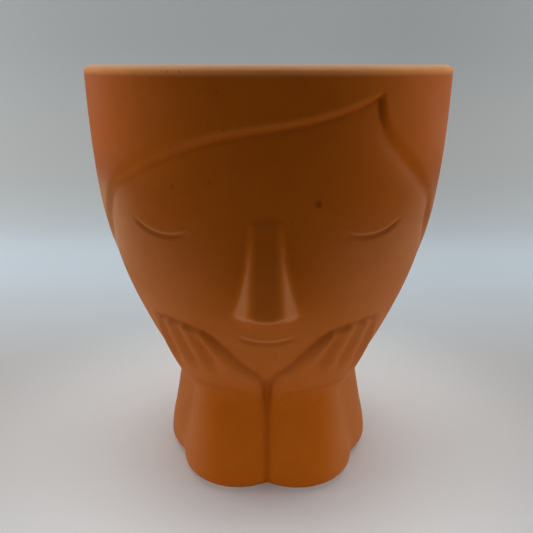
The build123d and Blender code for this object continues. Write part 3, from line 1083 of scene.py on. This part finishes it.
def front_painted_light(tree, place, parts, colour):
    """Painted sheen and light on the front: pale beside the face and the arms, warm and bright on the hair,
    paler at the temples.
    """
    out = maths(tree, "ABSOLUTE", parts["X"])
    lowered = maths(tree, "ADD", parts["Z"], -WAVER * MM)
    level = maths(tree, "MULTIPLY_ADD", noise(tree, place, *WAVER_WAVES), 2 * WAVER * MM, lowered)
    ahead = zone(tree, parts["Y"], AHEAD_STEP, 0.0, AHEAD_SHARE)
    head = zone(tree, parts["Z"], PALE_NECK_STEP)
    chin = zone(tree, level, PALE_CHIN_STEP, 0.0, PALE_CHIN_SHARE)
    face = maths(tree, "MAXIMUM", zone(tree, out, PALE_OUT_STEP), chin)
    face = product(tree, face, zone(tree, level, PALE_BROW_STEP), head)
    arms = product(tree, zone(tree, out, PALE_ARM_STEP), maths(tree, "SUBTRACT", 1.0, head))
    colour = blend(tree, product(tree, maths(tree, "ADD", face, arms), ahead), colour, PAINTED_SHEEN)
    warm = product(tree, zone(tree, out, WARM_OUT_STEP), ahead, zone(tree, level, WARM_HEIGHT_STEP))
    colour = blend(tree, warm, colour, PAINTED_SIDE_LIGHT)
    temple = product(tree, zone(tree, level, TEMPLE_TOP_STEP), zone(tree, level, TEMPLE_LOW_STEP))
    temple = product(tree, zone(tree, out, TEMPLE_OUT_STEP), ahead, temple)
    temple = product(tree, temple, zone(tree, parts["X"], TEMPLE_SIDE_STEP, *TEMPLE_SHARES))
    return blend(tree, temple, colour, PAINTED_HIGHLIGHT)


def mottle_and_painted_light(tree, place, painted_light, colour):
    """Glaze mottled all over, darkened by painted shade in the creases and lightened by painted highlights
    on the edges.
    """
    colour = blend(tree, product(tree, patches(tree, place, *MOTTLE), MOTTLE_SHARE), colour, GLAZE_DARK)
    # Painted shade in the creases, varied in patches
    painted_shade = ramp(tree, painted_light, 0.0, 1.0)
    painted_shade = product(tree, painted_shade, patches(tree, place, *SHADE_PATCHES, *SHADE_PATCH_SHARES), PAINTED_SHADE_SHARE)
    colour = blend(tree, painted_shade, colour, GLAZE_DARK)
    # Painted highlights on the edges and bevels, where the marks are below 0
    return blend(tree, ramp(tree, painted_light, 0.0, -1.0, 0.0, HIGHLIGHT_SHARE), colour, PAINTED_HIGHLIGHT)


def lip_wear_and_highlight(tree, place, parts, colour):
    """Glaze worn pale on the lip with a painted highlight, and a paler painted highlight on its top."""
    wear = patches(tree, place, *WEAR, *LIP_WEAR_AND_HIGHLIGHT_SHARES)
    colour = blend(tree, product(tree, zone(tree, parts["Z"], LIP_WEAR_AND_HIGHLIGHT_STEP), wear), colour, LIP_WEAR_AND_HIGHLIGHT)
    return blend(tree, zone(tree, parts["Z"], LIP_TOP_HIGHLIGHT_STEP, 0.0, LIP_TOP_HIGHLIGHT_SHARE), colour, LIP_TOP_HIGHLIGHT)


def stained(tree, place, parts, colour):
    """Glaze with small specks in places and a few frayed stains on the front."""
    specks = node(tree, "TexVoronoi", {"Vector": place, "Scale": SPECK_SCALE, "Randomness": 1.0})
    dots = ramp(tree, specks.outputs["Distance"], *SPECK_SPAN, 1.0, 0.0)
    dots = product(tree, dots, patches(tree, place, *SPECK_PATCHES), SPECK_SHARE)
    colour = blend(tree, dots, colour, STAIN)
    fray = noise(tree, place, *FRAY_WAVES)
    front = zone(tree, parts["Y"], STAIN_FRONT_STEP)
    flat = node(tree, "CombineXYZ", {"X": parts["X"], "Z": parts["Z"]}).outputs["Vector"]
    inner_share, outer_share = STAIN_FADE_SHARES
    for across, up, size, strength in STAINS:
        gap = distance(tree, flat, (across * MM, 0.0, up * MM))
        frayed = maths(tree, "MULTIPLY_ADD", fray, size * MM, gap)
        spot = zone(tree, frayed, (inner_share * size, outer_share * size), strength, 0.0)
        colour = blend(tree, product(tree, spot, front), colour, STAIN)
    return colour


def glaze():
    """Satin burnt-orange glaze: clouded and mottled, with painted shade in the creases, painted highlights
    on the edges, painted sheen and light on the front, and worn with a painted highlight on the lip.
    """
    material, tree, shader, place = new_material("satin_orange_glaze", GLAZE_SPECULAR)
    parts = node(tree, "SeparateXYZ", {"Vector": place}).outputs
    painted_light = node(tree, "Attribute", attribute_name="painted_light").outputs["Fac"]
    under = zone(tree, parts["Z"], BISQUE_STEP)
    colour = blend(tree, patches(tree, place, *CLOUDS), GLAZE_DEEP, GLAZE_LIGHT)
    colour = front_painted_light(tree, place, parts, colour)
    colour = mottle_and_painted_light(tree, place, painted_light, colour)
    colour = lip_wear_and_highlight(tree, place, parts, colour)
    colour = stained(tree, place, parts, colour)
    tree.links.new(blend(tree, under, colour, BISQUE), shader.inputs["Base Color"])
    rough = patches(tree, place, *GLOSS_PATCHES, *GLOSS_RANGE)
    rough = maths(tree, "MULTIPLY_ADD", painted_light, RECESS_ROUGHER, rough)
    rough = maths(tree, "MULTIPLY_ADD", under, BISQUE_ROUGHER, rough)
    tree.links.new(rough, shader.inputs["Roughness"])
    peel = product(tree, noise(tree, place, *PEEL_WAVES), PEEL_SHARE)
    grain = maths(tree, "MULTIPLY_ADD", noise(tree, place, *GRAIN_WAVES), GRAIN_SHARE, peel)
    add_bump(tree, shader, grain, GLAZE_BUMP, GLAZE_BUMP_HEIGHT)
    return material


def rubber(name, dark, light, roughness):
    """Moulded rubber with fine grain and dusty patches."""
    material, tree, shader, place = new_material(name, RUBBER_SPECULAR)
    dust = patches(tree, place, *DUST)
    tree.links.new(blend(tree, dust, dark, light), shader.inputs["Base Color"])
    tree.links.new(maths(tree, "MULTIPLY_ADD", dust, DUST_ROUGHER, roughness), shader.inputs["Roughness"])
    add_bump(tree, shader, noise(tree, place, *RUBBER_GRAIN_WAVES), RUBBER_BUMP, RUBBER_BUMP_HEIGHT)
    return material


def paper():
    """Pale seamless paper, warm near the viewer, cooler behind, and greyer up the back, with a painted pool
    of light round the planter and painted shade towards +X.
    """
    material, tree, shader, place = new_material("seamless_paper", PAPER_SPECULAR)
    parts = node(tree, "SeparateXYZ", {"Vector": place}).outputs
    colour = blend(tree, zone(tree, parts["Y"], PAPER_FAR_STEP), PAPER_NEAR, PAPER_FAR)
    close = zone(tree, distance(tree, place, PAPER_PAINTED_LIGHT_CENTRE), PAPER_PAINTED_LIGHT_STEP)
    colour = blend(tree, close, colour, PAPER_PAINTED_LIGHT)
    colour = blend(tree, zone(tree, parts["Y"], PAPER_WALL_STEP), colour, PAPER_WALL)
    shade = zone(tree, parts["X"], PAPER_SHADE_STEP, 0.0, PAPER_SHADE_SHARE)
    colour = blend(tree, shade, colour, PAPER_SHADE)
    tooth = product(tree, noise(tree, place, *PAPER_TOOTH_WAVES), PAPER_TOOTH_SHARE)
    tree.links.new(blend(tree, tooth, colour, PAPER_NEAR), shader.inputs["Base Color"])
    shader.inputs["Roughness"].default_value = PAPER_ROUGHNESS
    return material


def finish(piece, material):
    """Give a CAD piece one material."""
    piece.data.materials.clear()
    piece.data.materials.append(material)


pot = make_pot()
pot.data.materials.append(glaze())
for name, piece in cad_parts.items():
    if name.startswith("foot_pad"):
        finish(piece, rubber("pad_" + name, *PAD_RUBBER))
finish(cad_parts["drain_plug"], rubber("plug_rubber", *PLUG_RUBBER))

# Backdrop in metres: rows of its flat floor along Y, its sweep up into the wall, and its size
FLOOR_ROWS = (-1.1, -0.3, 0.30)
SWEEP_RADIUS = 0.16
SWEEP_STEPS = 16
WALL_TOP = 1.1
BACKDROP_HALF_WIDTH = 1.3


def make_backdrop():
    """Floor that sweeps up into a wall behind the planter."""
    profile = [(y, 0.0) for y in FLOOR_ROWS]
    start = FLOOR_ROWS[-1]
    for angle in quarter(SWEEP_STEPS):
        profile.append((start + SWEEP_RADIUS * math.sin(angle), SWEEP_RADIUS * (1.0 - math.cos(angle))))
    profile.append((start + SWEEP_RADIUS, WALL_TOP))
    points = [(side * BACKDROP_HALF_WIDTH, y, z) for y, z in profile for side in (-1, 1)]
    faces = [(2 * i, 2 * i + 1, 2 * i + 3, 2 * i + 2) for i in range(len(profile) - 1)]
    mesh = bpy.data.meshes.new("backdrop")
    mesh.from_pydata(points, [], faces)
    mesh.shade_smooth()
    backdrop = bpy.data.objects.new("backdrop", mesh)
    bpy.context.scene.collection.objects.link(backdrop)
    backdrop.data.materials.append(paper())


def area_lamp(name, size, place, target, power, colour, spread):
    """Soft rectangular lamp aimed at a place, its beam narrowed to a spread in degrees."""
    lamp = bpy.data.lights.new(name, "AREA")
    lamp.shape = "RECTANGLE"
    lamp.size, lamp.size_y = size
    lamp.energy = power
    lamp.color = colour
    lamp.spread = math.radians(spread)
    holder = bpy.data.objects.new(name, lamp)
    bpy.context.scene.collection.objects.link(holder)
    holder.location = place
    holder.rotation_euler = (Vector(target) - Vector(place)).to_track_quat("-Z", "Y").to_euler()


make_backdrop()

# Camera in metres, level with the rim and looking down at the planter
CAMERA_DISTANCE = 0.2080
CAMERA_HEIGHT = 0.140
CAMERA_AZIMUTH = 0.75
CAMERA_PITCH = 18.6
CAMERA_SHIFT = -0.0006
CAMERA_LENS = 40.53
CAMERA_SENSOR = 36.0
camera_data = bpy.data.cameras.new("view")
camera_data.lens = CAMERA_LENS
camera_data.sensor_width = CAMERA_SENSOR
camera = bpy.data.objects.new("view", camera_data)
bpy.context.scene.collection.objects.link(camera)
turn = math.radians(CAMERA_AZIMUTH)
across = CAMERA_DISTANCE * math.sin(turn) + CAMERA_SHIFT
camera.location = (across, -CAMERA_DISTANCE * math.cos(turn), CAMERA_HEIGHT)
camera.rotation_euler = (math.radians(90 - CAMERA_PITCH), 0, turn)
bpy.context.scene.camera = camera

# Soft boxes overhead and on each side, and a low one before the planter for the light off the table:
# size, place and aim in metres, power in watts, colour and spread
LAMPS = {
    "overhead": ((1.0, 0.6), (0.0, 0.15, 1.10), (0.0, 0.15, 0.0), 5.8, (1.0, 0.99, 0.97), 180.0),
    "left": ((0.75, 0.28), (-0.55, 0.04, 0.15), (0.0, 0.04, 0.13), 1.55, (0.98, 0.99, 1.0), 180.0),
    "right": ((0.75, 0.28), (0.55, 0.04, 0.15), (0.0, 0.04, 0.13), 1.5, (0.98, 0.99, 1.0), 180.0),
    "table": ((0.24, 0.03), (0.0, -0.15, 0.06), (0.0, -0.07, 0.0), 0.0285, (1.0, 0.98, 0.95), 110.0),
}
for name, settings in LAMPS.items():
    area_lamp(name, *settings)

WORLD_COLOUR = (0.8, 0.85, 0.9, 1.0)
WORLD_STRENGTH = 0.03
world = bpy.data.worlds.new("world")
bpy.context.scene.world = world
world.use_nodes = True
world.node_tree.nodes["Background"].inputs["Color"].default_value = WORLD_COLOUR
world.node_tree.nodes["Background"].inputs["Strength"].default_value = WORLD_STRENGTH

bpy.context.scene.view_settings.view_transform = "Standard"
